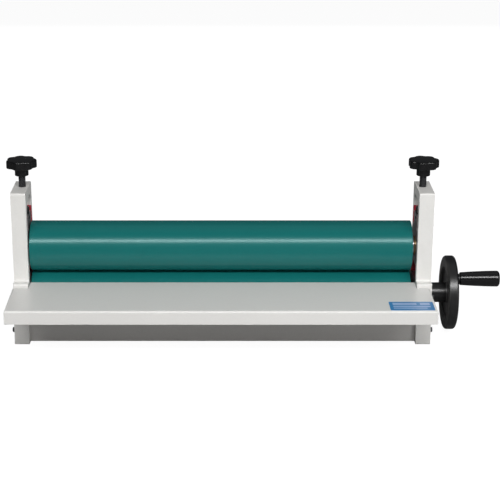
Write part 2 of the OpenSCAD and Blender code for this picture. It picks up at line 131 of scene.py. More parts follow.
# %% Floor and lamps
def soft_lamp(name, place, aim, width, height, power, colour=(1.0, 1.0, 1.0)):
    """A rectangular soft box at place, facing aim, both in metres."""
    data = bpy.data.lights.new(name, "AREA")
    data.shape = "RECTANGLE"
    data.size = width
    data.size_y = height
    data.energy = power
    data.color = colour
    lamp = bpy.data.objects.new(name, data)
    lamp.location = place
    lamp.rotation_euler = (Vector(aim) - Vector(place)).to_track_quat("-Z", "Y").to_euler()
    bpy.context.scene.collection.objects.link(lamp)
    return lamp


target = middle + Vector((0, 0, 0.12))
soft_lamp("strip lamp", target + Vector((0.12, -1.58, 1.30)), target, 3.4, 0.28, 45)
low_lamp = soft_lamp("low lamp", target + Vector((0.8, -2.7, 0.42)), target, 3.2, 0.5, 16)
low_lamp.visible_glossy = False
soft_lamp("top lamp", target + Vector((0.0, 0.5, 2.4)), target, 3.0, 2.0, 3)
back_lamp = soft_lamp("back lamp", target + Vector((0.0, 2.8, 0.8)), target, 3.0, 1.2, 26)
back_lamp.visible_glossy = False
soft_lamp("side lamp", target + Vector((2.4, -1.2, 0.7)), target, 0.9, 1.2, 5)

world = bpy.data.worlds.new("studio")
world.use_nodes = True
room = world.node_tree
fill = room.nodes["Background"]
fill.inputs["Color"].default_value = (0.93, 0.95, 1.0, 1)
fill.inputs["Strength"].default_value = 0.06
wall = room.nodes.new("ShaderNodeBackground")
wall.inputs["Color"].default_value = (1, 1, 1, 1)
wall.inputs["Strength"].default_value = 0.98
choice = room.nodes.new("ShaderNodeMixShader")
room.links.new(room.nodes.new("ShaderNodeLightPath").outputs["Is Camera Ray"], choice.inputs[0])
room.links.new(fill.outputs[0], choice.inputs[1])
room.links.new(wall.outputs[0], choice.inputs[2])
room.links.new(choice.outputs[0], room.nodes["World Output"].inputs["Surface"])
bpy.context.scene.world = world

floor_data = bpy.data.meshes.new("floor")
floor_data.from_pydata([(-30, -30, 0), (30, -30, 0), (30, 30, 0), (-30, 30, 0)], [],
                       [(0, 1, 2, 3)])
floor = bpy.data.objects.new("floor", floor_data)
bpy.context.scene.collection.objects.link(floor)

floor_finish = bpy.data.materials.new("floor paper")
floor_finish.use_nodes = True
paper_nodes = floor_finish.node_tree
paper = paper_nodes.nodes["Principled BSDF"]
paper.inputs["Base Color"].default_value = (0.22, 0.22, 0.22, 1)
paper.inputs["Roughness"].default_value = 0.9
paper.inputs["Specular IOR Level"].default_value = 0.1
paper.inputs["Emission Color"].default_value = (1, 1, 1, 1)
seen = paper_nodes.nodes.new("ShaderNodeLightPath")
glow = paper_nodes.nodes.new("ShaderNodeMath")
glow.operation = "MULTIPLY"
glow.inputs[1].default_value = 0.94
paper_nodes.links.new(seen.outputs["Is Camera Ray"], glow.inputs[0])
paper_nodes.links.new(glow.outputs[0], paper.inputs["Emission Strength"])
floor_data.materials.append(floor_finish)

# %% [markdown]
# ## Effects that several finishes share
#
# Paint, rubber, steel and plastic differ in colour and gloss, but they share a
# few small effects: an uneven tone, an orange-peel skin, fine turning marks and
# wear along edges. Each effect is a node group that is built once. It gives out
# only masks and heights, and every material sets its own amounts.

# %% A short way to place shader nodes
def place_node(tree, kind, inputs=None, **settings):
    """Add a node. An input is a plain value, or the output socket that feeds it."""
    node = tree.nodes.new(kind)
    for key, value in settings.items():
        setattr(node, key, value)
    for key, value in (inputs or {}).items():
        if isinstance(value, bpy.types.NodeSocket):
            tree.links.new(value, node.inputs[key])
        else:
            node.inputs[key].default_value = value
    return node


def effect_group(name, inputs, outputs):
    """An empty effect: its tree, and its input and output nodes."""
    tree = bpy.data.node_groups.new(name, "ShaderNodeTree")
    for label, kind, value in inputs:
        socket = tree.interface.new_socket(label, in_out="INPUT", socket_type=kind)
        socket.default_value = value
    for label in outputs:
        tree.interface.new_socket(label, in_out="OUTPUT", socket_type="NodeSocketFloat")
    return tree, tree.nodes.new("NodeGroupInput"), tree.nodes.new("NodeGroupOutput")


def mix_value(tree, operation, a, b, clamp=False):
    node = place_node(tree, "ShaderNodeMath", operation=operation, use_clamp=clamp)
    for socket, value in zip(node.inputs, (a, b)):
        if isinstance(value, bpy.types.NodeSocket):
            tree.links.new(value, socket)
        else:
            socket.default_value = value
    return node.outputs[0]


NUMBER, VECTOR = "NodeSocketFloat", "NodeSocketVector"

# %% [markdown]
# **Uneven tone.** Nothing made in a workshop is one flat colour. Two sizes of
# soft noise in the object's own coordinates give a cloudy mask around one half.

# %% Uneven tone
tone_tree, tone_in, tone_out = effect_group(
    "uneven tone", [("Scale", NUMBER, 9.0), ("Fine Scale", NUMBER, 240.0)], ["Tone"])
tone_place = place_node(tone_tree, "ShaderNodeTexCoord").outputs["Object"]
broad = place_node(tone_tree, "ShaderNodeTexNoise", {
    "Vector": tone_place, "Scale": tone_in.outputs["Scale"], "Detail": 3.0, "Roughness": 0.55})
fine = place_node(tone_tree, "ShaderNodeTexNoise", {
    "Vector": tone_place, "Scale": tone_in.outputs["Fine Scale"], "Detail": 2.0})
blend = mix_value(tone_tree, "ADD",
                  mix_value(tone_tree, "MULTIPLY", broad.outputs[0], 0.7),
                  mix_value(tone_tree, "MULTIPLY", fine.outputs[0], 0.3))
tone_tree.links.new(blend, tone_out.inputs["Tone"])

# %% [markdown]
# **Orange peel.** Powder coat flows before it sets and leaves a fine dimpled
# skin, about a millimetre from dimple to dimple. It is a height for a Bump node.

# %% Orange peel
peel_tree, peel_in, peel_out = effect_group(
    "orange peel", [("Scale", NUMBER, 700.0)], ["Height"])
peel_place = place_node(peel_tree, "ShaderNodeTexCoord").outputs["Object"]
dimples = place_node(peel_tree, "ShaderNodeTexNoise", {
    "Vector": peel_place, "Scale": peel_in.outputs["Scale"], "Detail": 1.5})
waves = place_node(peel_tree, "ShaderNodeTexNoise", {
    "Vector": peel_place, "Scale": 95.0, "Detail": 1.0})
peel = mix_value(peel_tree, "ADD", dimples.outputs[0],
                 mix_value(peel_tree, "MULTIPLY", waves.outputs[0], 0.6))
peel_tree.links.new(peel, peel_out.inputs["Height"])

# %% [markdown]
# **Turning marks.** A turned or ground cylinder carries fine rings round its
# axis. Noise that is squeezed along the axis and stretched across it gives such
# rings.

# %% Turning marks
rings_tree, rings_in, rings_out = effect_group(
    "turning marks", [("Along", VECTOR, (1600.0, 14.0, 14.0))], ["Height", "Tone"])
rings_place = place_node(rings_tree, "ShaderNodeTexCoord").outputs["Object"]
stretched = place_node(rings_tree, "ShaderNodeVectorMath", operation="MULTIPLY")
rings_tree.links.new(rings_place, stretched.inputs[0])
rings_tree.links.new(rings_in.outputs["Along"], stretched.inputs[1])
marks = place_node(rings_tree, "ShaderNodeTexNoise", {
    "Vector": stretched.outputs[0], "Scale": 1.0, "Detail": 4.0, "Roughness": 0.6})
rings_tree.links.new(marks.outputs[0], rings_out.inputs["Height"])
rings_tree.links.new(mix_value(rings_tree, "POWER", marks.outputs[0], 1.5),
                     rings_out.inputs["Tone"])

# %% [markdown]
# **Edge wear.** Hands and tools rub edges first. The Bevel node bends the normal
# near an edge, so the angle between it and the true normal is a mask of edges.
# Noise breaks the mask up, so the wear isn't an even outline.

# %% Edge wear
wear_tree, wear_in, wear_out = effect_group(
    "edge wear", [("Width", NUMBER, 0.0012), ("Amount", NUMBER, 1.0)], ["Mask"])
bent = place_node(wear_tree, "ShaderNodeBevel", {"Radius": wear_in.outputs["Width"]},
                  samples=4)
true_normal = place_node(wear_tree, "ShaderNodeNewGeometry").outputs["Normal"]
facing = place_node(wear_tree, "ShaderNodeVectorMath", operation="DOT_PRODUCT")
wear_tree.links.new(bent.outputs[0], facing.inputs[0])
wear_tree.links.new(true_normal, facing.inputs[1])
edge = mix_value(wear_tree, "SUBTRACT", 1.0, facing.outputs["Value"], clamp=True)
patchy = place_node(wear_tree, "ShaderNodeTexNoise", {
    "Vector": place_node(wear_tree, "ShaderNodeTexCoord").outputs["Object"],
    "Scale": 130.0, "Detail": 3.0})
rubbed = mix_value(wear_tree, "MULTIPLY", edge, patchy.outputs[0])
strength = mix_value(wear_tree, "MULTIPLY", wear_in.outputs["Amount"], 9.0)
wear_tree.links.new(mix_value(wear_tree, "MULTIPLY", rubbed, strength, clamp=True),
                    wear_out.inputs["Mask"])
print("effects:", sorted(g.name for g in bpy.data.node_groups))


# %% [markdown]
# ## Finishes
#
# One recipe makes them all: a base colour that drifts between a light and a dark
# tone, a rubbed colour along the edges, a roughness that drifts too, and a bump
# from one of the heights above. The values that don't change over the surface
# sit on the shader's own sockets.

# %% The recipe
def make_finish(name, light, dark, roughness, metallic=0.0, worn=None, wear=0.0,
                skin="peel", skin_depth=0.00002, rings=(1600.0, 14.0, 14.0), coat=0.0,
                coat_roughness=0.1, specular=0.5, tone_scale=9.0, rough_drift=0.08, tint=(1.0, 1.0, 1.0)):
    """A material. light and dark are linear colours; skin is peel or rings."""
    finish = bpy.data.materials.new(name)
    finish.use_nodes = True
    tree = finish.node_tree
    shader = tree.nodes["Principled BSDF"]
    shader.inputs["Metallic"].default_value = metallic
    shader.inputs["Specular IOR Level"].default_value = specular
    shader.inputs["Specular Tint"].default_value = (*tint, 1)
    shader.inputs["Coat Weight"].default_value = coat
    shader.inputs["Coat Roughness"].default_value = coat_roughness
    tone = place_node(tree, "ShaderNodeGroup", node_tree=tone_tree)
    tone.inputs["Scale"].default_value = tone_scale
    amount = tone.outputs["Tone"]
    if skin == "rings":
        ringed = place_node(tree, "ShaderNodeGroup", node_tree=rings_tree)
        ringed.inputs["Along"].default_value = rings
        height = ringed.outputs["Height"]
        amount = mix_value(tree, "ADD", mix_value(tree, "MULTIPLY", amount, 0.6),
                           mix_value(tree, "MULTIPLY", ringed.outputs["Tone"], 0.4))
    else:
        height = place_node(tree, "ShaderNodeGroup", node_tree=peel_tree).outputs["Height"]
    spread = place_node(tree, "ShaderNodeMapRange", {
        "Value": amount, "From Min": 0.3, "From Max": 0.7})
    colour = place_node(tree, "ShaderNodeMix", {
        "Factor": spread.outputs[0], "A": (*dark, 1), "B": (*light, 1)}, data_type="RGBA")
    colour = colour.outputs["Result"]
    if wear:
        rubbed_edges = place_node(tree, "ShaderNodeGroup", node_tree=wear_tree)
        rubbed_edges.inputs["Amount"].default_value = wear
        colour = place_node(tree, "ShaderNodeMix", {
            "Factor": rubbed_edges.outputs["Mask"], "A": colour, "B": (*worn, 1)},
            data_type="RGBA").outputs["Result"]
    tree.links.new(colour, shader.inputs["Base Color"])
    rough = place_node(tree, "ShaderNodeMapRange", {
        "Value": amount, "From Min": 0.3, "From Max": 0.7,
        "To Min": roughness + rough_drift / 2, "To Max": roughness - rough_drift / 2})
    tree.links.new(rough.outputs[0], shader.inputs["Roughness"])
    bump = place_node(tree, "ShaderNodeBump", {"Height": height, "Distance": skin_depth})
    tree.links.new(bump.outputs[0], shader.inputs["Normal"])
    return finish


# %% [markdown]
# The castings and the sheet metal carry the same warm off-white powder coat. The
# table's is a little smoother, because it lies on flat sheet. The cross panels get a
# darker copy of the same coat: that darkening is painted shade, for the shade the
# panels stand in between the frames, below the table.

# %% Paints
casting_paint = make_finish(
    "casting paint", (0.80, 0.79, 0.765), (0.74, 0.73, 0.70), 0.42,
    worn=(0.88, 0.87, 0.85), wear=0.5, skin_depth=0.00005, tone_scale=14.0)
table_paint = make_finish(
    "table paint", (0.80, 0.79, 0.765), (0.755, 0.745, 0.72), 0.36,
    worn=(0.88, 0.87, 0.85), wear=0.4, skin_depth=0.00002, tone_scale=5.0)
# painted shade: the same off-white coat darkened for the cross panels, which stand in shade below the
# table
shaded_panel_paint = make_finish(
    "panel paint with painted shade", (0.60, 0.585, 0.565), (0.54, 0.53, 0.51), 0.42,
    worn=(0.80, 0.79, 0.77), wear=0.4, skin_depth=0.00002, tone_scale=6.0)

# %% [markdown]
# The rollers are covered with green rubber, ground round after moulding. The
# wheel leaves rings too fine to count, which soften the reflections along the
# roller. Their ends are cut square and look darker.

# %% Rubber
roller_rubber = make_finish(
    "ground green rubber", (0.007, 0.150, 0.143), (0.005, 0.130, 0.124), 0.25,
    skin="rings", skin_depth=0.000002, rings=(5200.0, 9.0, 9.0), specular=0.5,
    tone_scale=7.0, rough_drift=0.04, tint=(0.72, 1.0, 1.0))

# %% [markdown]
# Metals keep their colour in the reflection, so metallic is one and the base
# colour is the metal's tint. Turned shafts get rings, milled blocks a fine skin.

# %% Metals
turned_steel = make_finish(
    "turned steel", (0.62, 0.62, 0.63), (0.48, 0.48, 0.49), 0.28, metallic=1.0,
    skin="rings", skin_depth=0.00001, rings=(3000.0, 30.0, 30.0))
block_steel = make_finish(
    "milled steel", (0.58, 0.58, 0.59), (0.45, 0.45, 0.46), 0.38, metallic=1.0,
    worn=(0.75, 0.75, 0.76), wear=0.6, skin="rings", skin_depth=0.00001,
    rings=(60.0, 60.0, 2400.0))
bronze = make_finish(
    "sintered bronze", (0.60, 0.40, 0.20), (0.45, 0.28, 0.13), 0.42, metallic=1.0,
    skin_depth=0.00002, tone_scale=60.0)
zinc = make_finish(
    "zinc plate", (0.66, 0.67, 0.69), (0.55, 0.56, 0.57), 0.33, metallic=1.0,
    worn=(0.78, 0.78, 0.80), wear=0.6, skin_depth=0.00001, tone_scale=80.0)
black_oxide = make_finish(
    "black oxide", (0.045, 0.045, 0.048), (0.025, 0.025, 0.027), 0.34, metallic=0.6,
    worn=(0.16, 0.16, 0.17), wear=0.8, skin="rings", skin_depth=0.000008,
    rings=(900.0, 900.0, 900.0), tone_scale=60.0)

# %% [markdown]
# The wheel, the grip and the knobs are moulded in black phenolic and polished.
# The gloss comes from a low roughness; faint waves in the skin bend reflections.

# %% Black mouldings
wheel_black = make_finish(
    "wheel moulding", (0.008, 0.008, 0.0085), (0.004, 0.004, 0.0045), 0.32,
    worn=(0.05, 0.05, 0.05), wear=0.35, skin="rings", skin_depth=0.000004,
    rings=(2600.0, 40.0, 40.0), tone_scale=25.0, rough_drift=0.06, specular=1.0)
knob_black = make_finish(
    "knob moulding", (0.006, 0.006, 0.0065), (0.004, 0.004, 0.0045), 0.22,
    worn=(0.04, 0.04, 0.04), wear=0.3, skin_depth=0.000005, tone_scale=40.0)
grip_black = make_finish(
    "grip moulding", (0.005, 0.005, 0.0055), (0.003, 0.003, 0.0035), 0.22,
    skin_depth=0.000004, tone_scale=30.0, rough_drift=0.04, specular=0.7)
strip_red = make_finish(
    "red nylon", (0.50, 0.035, 0.06), (0.40, 0.025, 0.045), 0.40,
    skin_depth=0.00001, tone_scale=40.0)
label_blue = make_finish(
    "printed blue film", (0.055, 0.26, 0.56), (0.045, 0.22, 0.50), 0.32,
    skin_depth=0.000004, tone_scale=30.0, rough_drift=0.04)
label_pale = make_finish(
    "printed pale bars", (0.42, 0.55, 0.80), (0.36, 0.48, 0.74), 0.34,
    skin_depth=0.000004, tone_scale=60.0, rough_drift=0.04)
print("finishes:", len(bpy.data.materials) - 1)


# %% [markdown]
# ## Drawing tools
#
# Machine parts are mostly drawn outlines pushed straight through, or outlines
# spun round an axis. Two small tools make both out of rings of points, and a
# third rounds the corners of an outline, as a cutter or a mould does.

# %% Rings, turned bodies and straight bodies
def skin_rings(mesh, rings, closed=False):
    """Join rings of points into a closed skin; a closed stack joins up with its start."""
    made = [[mesh.verts.new(point) for point in ring] for ring in rings]
    pairs = list(zip(made, made[1:]))
    if closed:
        pairs.append((made[-1], made[0]))
    for one, two in pairs:
        for i in range(len(one)):
            j = (i + 1) % len(one)
            mesh.faces.new((one[i], one[j], two[j], two[i]))
    if not closed:
        mesh.faces.new(list(reversed(made[0])))
        mesh.faces.new(made[-1])
    return made


def turned(mesh, profile, centre, along="X", steps=96, closed=False, phase=0.0):
    """Spin a profile of (radius, distance) round an axis through centre, in mm.
    A radius may be a function of the angle, for lobes or a hexagon."""
    rings = []
    for radius, distance in profile:
        ring = []
        for i in range(steps):
            angle = math.tau * i / steps + phase
            r = radius(angle) if callable(radius) else radius
            a, b = r * math.cos(angle), r * math.sin(angle)
            offset = (distance, a, b) if along == "X" else (a, b, distance)
            ring.append(Vector(centre) + Vector(offset))
        rings.append(ring)
    return skin_rings(mesh, rings, closed)


def arc(centre, radius, start, end, steps):
    """Points on an arc; angles in degrees."""
    points = []
    for i in range(steps + 1):
        angle = math.radians(start + (end - start) * i / steps)
        points.append((centre[0] + radius * math.cos(angle),
                       centre[1] + radius * math.sin(angle)))
    return points


def rounded(corners, steps=5, closed=True):
    """Round each corner (u, v, radius) of an outline with a tangent arc."""
    points = []
    count = len(corners)
    for i, (u, v, radius) in enumerate(corners):
        here = Vector((u, v))
        ends = not closed and i in (0, count - 1)
        if radius <= 0 or ends:
            points.append((u, v))
            continue
        before = (Vector(corners[i - 1][:2]) - here).normalized()
        after = (Vector(corners[(i + 1) % count][:2]) - here).normalized()
        half = before.angle(after) / 2
        reach = radius / math.tan(half)
        centre = here + (before + after).normalized() * radius / math.sin(half)
        first = here + before * reach - centre
        last = here + after * reach - centre
        turn = first.angle_signed(last)
        for k in range(steps + 1):
            angle = -turn * k / steps
            c, s = math.cos(angle), math.sin(angle)
            points.append((centre.x + first.x * c - first.y * s,
                           centre.y + first.x * s + first.y * c))
    return points


def straight(mesh, outline, x0, x1, edge=0.0, edge_steps=3):
    """Push an outline of (y, z) from x0 to x1, rounding its two rims by edge."""
    body = skin_rings(mesh, [[(x, y, z) for y, z in outline] for x in (x0, x1)])
    if edge:
        rims = [e for e in mesh.edges
                if abs(e.verts[0].co.x - e.verts[1].co.x) < 1e-6
                and any(abs(e.verts[0].co.x - x) < 1e-6 for x in (x0, x1))
                and e.is_manifold]
        bmesh.ops.bevel(mesh, geom=rims, offset=edge, segments=edge_steps, profile=0.5,
                        affect="EDGES", clamp_overlap=True)
    return body


# %% [markdown]
# A drawn body becomes a piece when it has a mesh, a finish and a body to ride
# on. Normals are weighted by face size, so broad faces stay flat and only the
# rounded edges catch the light.

# %% From a drawing to a piece
def as_object(name, mesh):
    """Close off a drawing in mm and make it an object in the row's frame."""
    bmesh.ops.remove_doubles(mesh, verts=mesh.verts, dist=0.0005)
    bmesh.ops.recalc_face_normals(mesh, faces=mesh.faces)
    for vert in mesh.verts:
        vert.co = vert.co * MM + middle
    data = bpy.data.meshes.new(name)
    mesh.to_mesh(data)
    mesh.free()
    thing = bpy.data.objects.new(name, data)
    bpy.context.scene.collection.objects.link(thing)
    return thing


def settle(thing):
    """Apply a thing's modifiers to its mesh."""
    bpy.context.view_layer.update()
    graph = bpy.context.evaluated_depsgraph_get()
    data = bpy.data.meshes.new_from_object(thing.evaluated_get(graph))
    thing.modifiers.clear()
    thing.data = data
    return thing


def cut_away(thing, cutter):
    """Take the cutter's shape out of the thing."""
    knife = thing.modifiers.new("cut", "BOOLEAN")
    knife.operation = "DIFFERENCE"
    knife.solver = "EXACT"
    knife.object = cutter
    settle(thing)
    bpy.data.objects.remove(cutter)
    return thing


def finish_piece(thing, finish, body, nodes, soft_edge=0.0, smooth=38):
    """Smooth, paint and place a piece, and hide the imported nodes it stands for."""
    if soft_edge:
        bevel = thing.modifiers.new("edges", "BEVEL")
        bevel.width = soft_edge * MM
        bevel.segments = 2
        bevel.limit_method = "ANGLE"
        bevel.angle_limit = math.radians(50)
        bevel.use_clamp_overlap = True
        settle(thing)
    thing.data.shade_smooth()
    thing.data.set_sharp_from_angle(angle=math.radians(smooth))
    weighted = thing.modifiers.new("flat faces", "WEIGHTED_NORMAL")
    weighted.keep_sharp = True
    weighted.weight = 80
    settle(thing)
    thing.data.materials.clear()
    thing.data.materials.append(finish)
    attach(thing, body)
    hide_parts(*nodes)
    print("%-24s %6d faces on %s" % (thing.name, len(thing.data.polygons), body))
    return thing


def both_sides():
    return (("left", -1), ("right", 1))


# %% [markdown]
# ## Side frames
#
# Each side frame is one casting: a broad base with two foot pads, and a column
# with a deep pocket on its inner side for the bearing blocks. It is drawn as an
# outline with rounded corners, pushed through its thickness with soft rims, and
# the pocket is then cut out with a cutter whose mouth flares like a worn die.

# %% Side frames
base_half = size_mm(right_low.y, right_high.y) / 2
column_top = right_high.z / MM
column_front, column_back = 45, 35
ledge_half, ledge_z = 60, 105
pad_inner, relief_top = 38, 6
pocket_half, pocket_floor, pocket_top, pocket_corner = 30, 38, 241, 23
pocket_x = outer_x - 4
screw_x = sum(c.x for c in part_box("right_pressure_screw")) / 2 / MM - middle.x / MM


block_screw_y = 21
m5_hole_r, m6_hole_r = 2.75, 3.25
panel_screws = [(y, z) for y in (-51, 51) for z in (20, 79)]


def frame_outline():
    return rounded([
        (-base_half, 0, 2), (-pad_inner, 0, 1.5), (-pad_inner, relief_top, 4),
        (pad_inner, relief_top, 4), (pad_inner, 0, 1.5), (base_half, 0, 2),
        (ledge_half, ledge_z, 3), (column_back, ledge_z, 4),
        (column_back, column_top, 5), (-column_front, column_top, 3),
        (-column_front, ledge_z, 4), (-ledge_half, ledge_z, 3)])


def pocket_outline(grow):
    side, top = pocket_half + grow, pocket_top + grow
    return rounded([
        (-side, pocket_floor - grow, 2 + grow), (side, pocket_floor - grow, 2 + grow),
        (side, top, pocket_corner + grow), (-side, top, pocket_corner + grow)], 10)


for side, sign in both_sides():
    drawing = bmesh.new()
    straight(drawing, frame_outline(), sign * inner_x, sign * outer_x, edge=1.4)
    casting = as_object(side + "_casting", drawing)
    drawing = bmesh.new()
    mouth = 1.6
    stations = [(-1.0, mouth)] + [
        (mouth * (1 - math.cos(a)), mouth * (1 - math.sin(a)))
        for a in (math.radians(90 * k / 4) for k in range(5))]
    stations.append((pocket_x - inner_x, 0.0))
    skin_rings(drawing, [
        [(sign * (inner_x + depth), y, z) for y, z in pocket_outline(grow)]
        for depth, grow in stations])
    cut_away(casting, as_object("pocket_cutter", drawing))
    drawing = bmesh.new()
    turned(drawing, [(6.2, pocket_top - 2), (6.2, column_top - 0.8), (7.2, column_top + 0.4)],
           (sign * screw_x, 0, 0), along="Z", steps=48)
    cut_away(casting, as_object("screw_hole", drawing))
    if side == "right":
        drawing = bmesh.new()
        turned(drawing, [(12, pocket_x - 2), (12, outer_x + 2)], (0, 0, lower_z))
        cut_away(casting, as_object("shaft_hole", drawing))
    drawing = bmesh.new()
    for y, z in panel_screws:
        turned(drawing, [(m5_hole_r, sign * (inner_x - 2)), (m5_hole_r, sign * (outer_x + 2))],
               (0, y, z), steps=32)
    for y in (-block_screw_y, block_screw_y):
        turned(drawing, [(m6_hole_r, sign * (pocket_x - 2)), (m6_hole_r, sign * (outer_x + 2))],
               (0, y, lower_z - block_screw_y), steps=32)
    cut_away(casting, as_object("screw_holes", drawing))
    finish_piece(casting, casting_paint, "frame", [side + "_side_frame"])

# %% [markdown]
# ## Sheet metal
#
# The cross panels and the feed table are folded from sheet. A fold is never
# sharp: its outer radius is the inner one plus the sheet. A section is drawn as
# the outer line of the fold, and its inner line lies one thickness inside.

# %% Folded sections
def folded_section(path, thickness, radius):
    """Outline of a folded strip. path is its outer line; the metal lies to its left."""
    inner = []
    points = [Vector(p) for p in path]
    for i, point in enumerate(points):
        normals = []
        for a, b in ((i - 1, i), (i, i + 1)):
            if a >= 0 and b < len(points):
                way = (points[b] - points[a]).normalized()
                normals.append(Vector((-way.y, way.x)))
        shift = sum(normals, Vector((0, 0))).normalized()
        inner.append(point + shift * thickness / shift.dot(normals[0]))
    outer_line = rounded([(p.x, p.y, radius) for p in points], closed=False)
    inner_line = rounded([(p.x, p.y, max(radius - thickness, 0.3)) for p in inner],
                         closed=False)
    return outer_line + inner_line[::-1]


panel_t, panel_lift = 3, 2
front_panel_y = -y_of("front_cross_panel")[0]
rear_panel_y = y_of("rear_cross_panel")[1]
panel_top = z_of("front_cross_panel")[1]
shelf_end = front_panel_y
web_y = rear_panel_y
tab_w, tab_inset = 10, 6


def panel_tabs(mesh, sign_y):
    """The two end tabs of a panel, folded back along the side frames."""
    for sign in (-1, 1):
        y0, y1 = sign_y * (web_y - 0.4), sign_y * (web_y - panel_t - tab_w)
        low, high = panel_lift + tab_inset, panel_top - tab_inset
        outline = rounded([(y0, low, 0), (y1, low, 4), (y1, high, 4), (y0, high, 0)])
        x0, x1 = sign * inner_x, sign * (inner_x - panel_t)
        skin_rings(mesh, [[(x, y, z) for y, z in outline] for x in (x0, x1)])


def folded_panel(name, section, sign_y, stud_holes=()):
    drawing = bmesh.new()
    reach = inner_x - 0.05
    skin_rings(drawing, [[(x, y, z) for y, z in section] for x in (-reach, reach)])
    panel_tabs(drawing, sign_y)
    panel = as_object(name, drawing)
    drawing = bmesh.new()
    for y, z in panel_screws:
        if y * sign_y > 0:
            for sign in (-1, 1):
                turned(drawing, [(m5_hole_r, sign * (inner_x - 8)),
                                 (m5_hole_r, sign * (inner_x + 2))],
                       (0, y, z), steps=32)
    for x, y in stud_holes:
        turned(drawing, [(m5_hole_r, panel_top - 6), (m5_hole_r, panel_top + 2)], (x, y, 0),
               along="Z", steps=32)
    return cut_away(panel, as_object("screw_holes", drawing))


stud_y = sum(y_of("feed_table_nuts")) / 2
stud_inset = 47
stud_places = [(share * (inner_x - stud_inset), stud_y) for share in (-1, -1 / 3, 1 / 3, 1)]


front_section = folded_section(
    [(-web_y + panel_t, panel_lift), (-web_y + panel_t, panel_top), (-shelf_end, panel_top)],
    panel_t, 4.5)
rear_section = folded_section(
    [(web_y, panel_lift), (web_y, panel_top), (web_y - panel_t - tab_w, panel_top)],
    panel_t, 4.5)
finish_piece(folded_panel("front_panel", front_section, -1, stud_places), shaded_panel_paint, "frame",
             ["front_cross_panel"], soft_edge=0.35)
finish_piece(folded_panel("rear_panel", rear_section, 1), shaded_panel_paint, "frame",
             ["rear_cross_panel"], soft_edge=0.35)

# %% [markdown]
# The feed table is one sheet folded down on three sides. Its skin is drawn as a
# line that runs from one back corner round the front to the other, stepped
# inwards and upwards through the fold. A thickness is then given to the skin. A
# tongue reaches back between the frames, close to the lower roller.

# %% Feed table
table_left, table_right = x_of("feed_table")
table_front, tongue_back = y_of("feed_table")
stud_foot, table_top = z_of("feed_table")
lip_bottom = table_top - 23
table_t, fold = 2, 3.5
notch_y = -(ledge_half + 10 * (ledge_z - lip_bottom) / ledge_z + 0.7)
tongue_half = inner_x - 1


def table_line(inset, corner=1.2, steps=3):
    """The table's edge from the left notch round the front to the right notch."""
    left_x, right_x = table_left + inset, table_right - inset
    front = table_front + inset
    r = max(corner - inset, 0.0)
    left = arc((left_x + r, front + r), r, 180, 270, steps)
    right = arc((right_x - r, front + r), r, 270, 360, steps)
    return [(left_x, notch_y)] + left + right + [(right_x, notch_y)]


drawing = bmesh.new()
levels = [(0.0, lip_bottom), (0.0, table_top - fold)] + [
    (fold * (1 - math.cos(a)), table_top - fold * (1 - math.sin(a)))
    for a in (math.radians(90 * k / 6) for k in range(1, 7))]
strips = [[drawing.verts.new((x, y, z)) for x, y in table_line(inset)]
          for inset, z in levels]
for one, two in zip(strips, strips[1:]):
    for i in range(len(one) - 1):
        drawing.faces.new((one[i], one[i + 1], two[i + 1], two[i]))
tongue = rounded([(table_right - fold, notch_y, 0), (tongue_half, notch_y, 1.2),
                  (tongue_half, tongue_back, 2.5), (-tongue_half, tongue_back, 2.5),
                  (-tongue_half, notch_y, 1.2), (table_left + fold, notch_y, 0)])
tongue_verts = [drawing.verts.new((x, y, table_top)) for x, y in tongue[1:-1]]
drawing.faces.new(strips[-1] + tongue_verts)
table = as_object("folded_feed_table", drawing)
for face in table.data.polygons:
    if face.area > 0.05 and face.normal.z < 0:
        table.data.flip_normals()
thicken = table.modifiers.new("sheet", "SOLIDIFY")
thicken.thickness = table_t * MM
thicken.offset = -1
thicken.use_even_offset = True
settle(table)
finish_piece(table, table_paint, "frame", ["feed_table"], soft_edge=0.3)


# %% [markdown]
# ## Threads
#
# A screw thread is a ridge that climbs by one pitch in each turn. Its skin is a
# grid of points that climbs in the same way, joined to itself one turn further
# up. The long thread is then trimmed by a plain rod with chamfered ends.

# %% Threaded rods
def thread_skin(mesh, centre, low, high, radius, pitch, depth, steps):
    profile = ((0.0, -depth), (0.36, 0.0), (0.52, 0.0), (0.88, -depth))
    turns = int((high - low) / pitch) + 4
    columns = []
    for i in range(steps):
        angle = math.tau * i / steps
        column = []
        for turn in range(turns):
            for share, step in profile:
                r = radius + step
                z = low + pitch * (turn - 1.5 + share + i / steps)
                column.append(mesh.verts.new((centre[0] + r * math.cos(angle),
                                              centre[1] + r * math.sin(angle), z)))
        columns.append(column)
    rise = len(profile)
    rows = turns * rise
    for i in range(steps - 1):
        for k in range(rows - 1):
            mesh.faces.new((columns[i][k], columns[i + 1][k],
                            columns[i + 1][k + 1], columns[i][k + 1]))
    for k in range(rows - 1 - rise):
        mesh.faces.new((columns[-1][k], columns[0][k + rise],
                        columns[0][k + rise + 1], columns[-1][k + 1]))
    foot = [column[0] for column in columns] + [columns[0][k] for k in range(rise, 0, -1)]
    head = ([column[-1] for column in columns]
            + [columns[-1][k] for k in range(rows - 2, rows - 2 - rise, -1)])
    for rim, z in ((foot, low - 3 * pitch), (head, high + 3 * pitch)):
        tip = mesh.verts.new((centre[0], centre[1], z))
        for i in range(len(rim)):
            mesh.faces.new((rim[i], rim[(i + 1) % len(rim)], tip))


def keep_inside(thing, shape):
    """Keep only the part of a thing that lies inside a shape."""
    trim = thing.modifiers.new("trim", "BOOLEAN")
    trim.operation = "INTERSECT"
    trim.solver = "EXACT"
    trim.object = shape
    settle(thing)
    bpy.data.objects.remove(shape)
    return thing


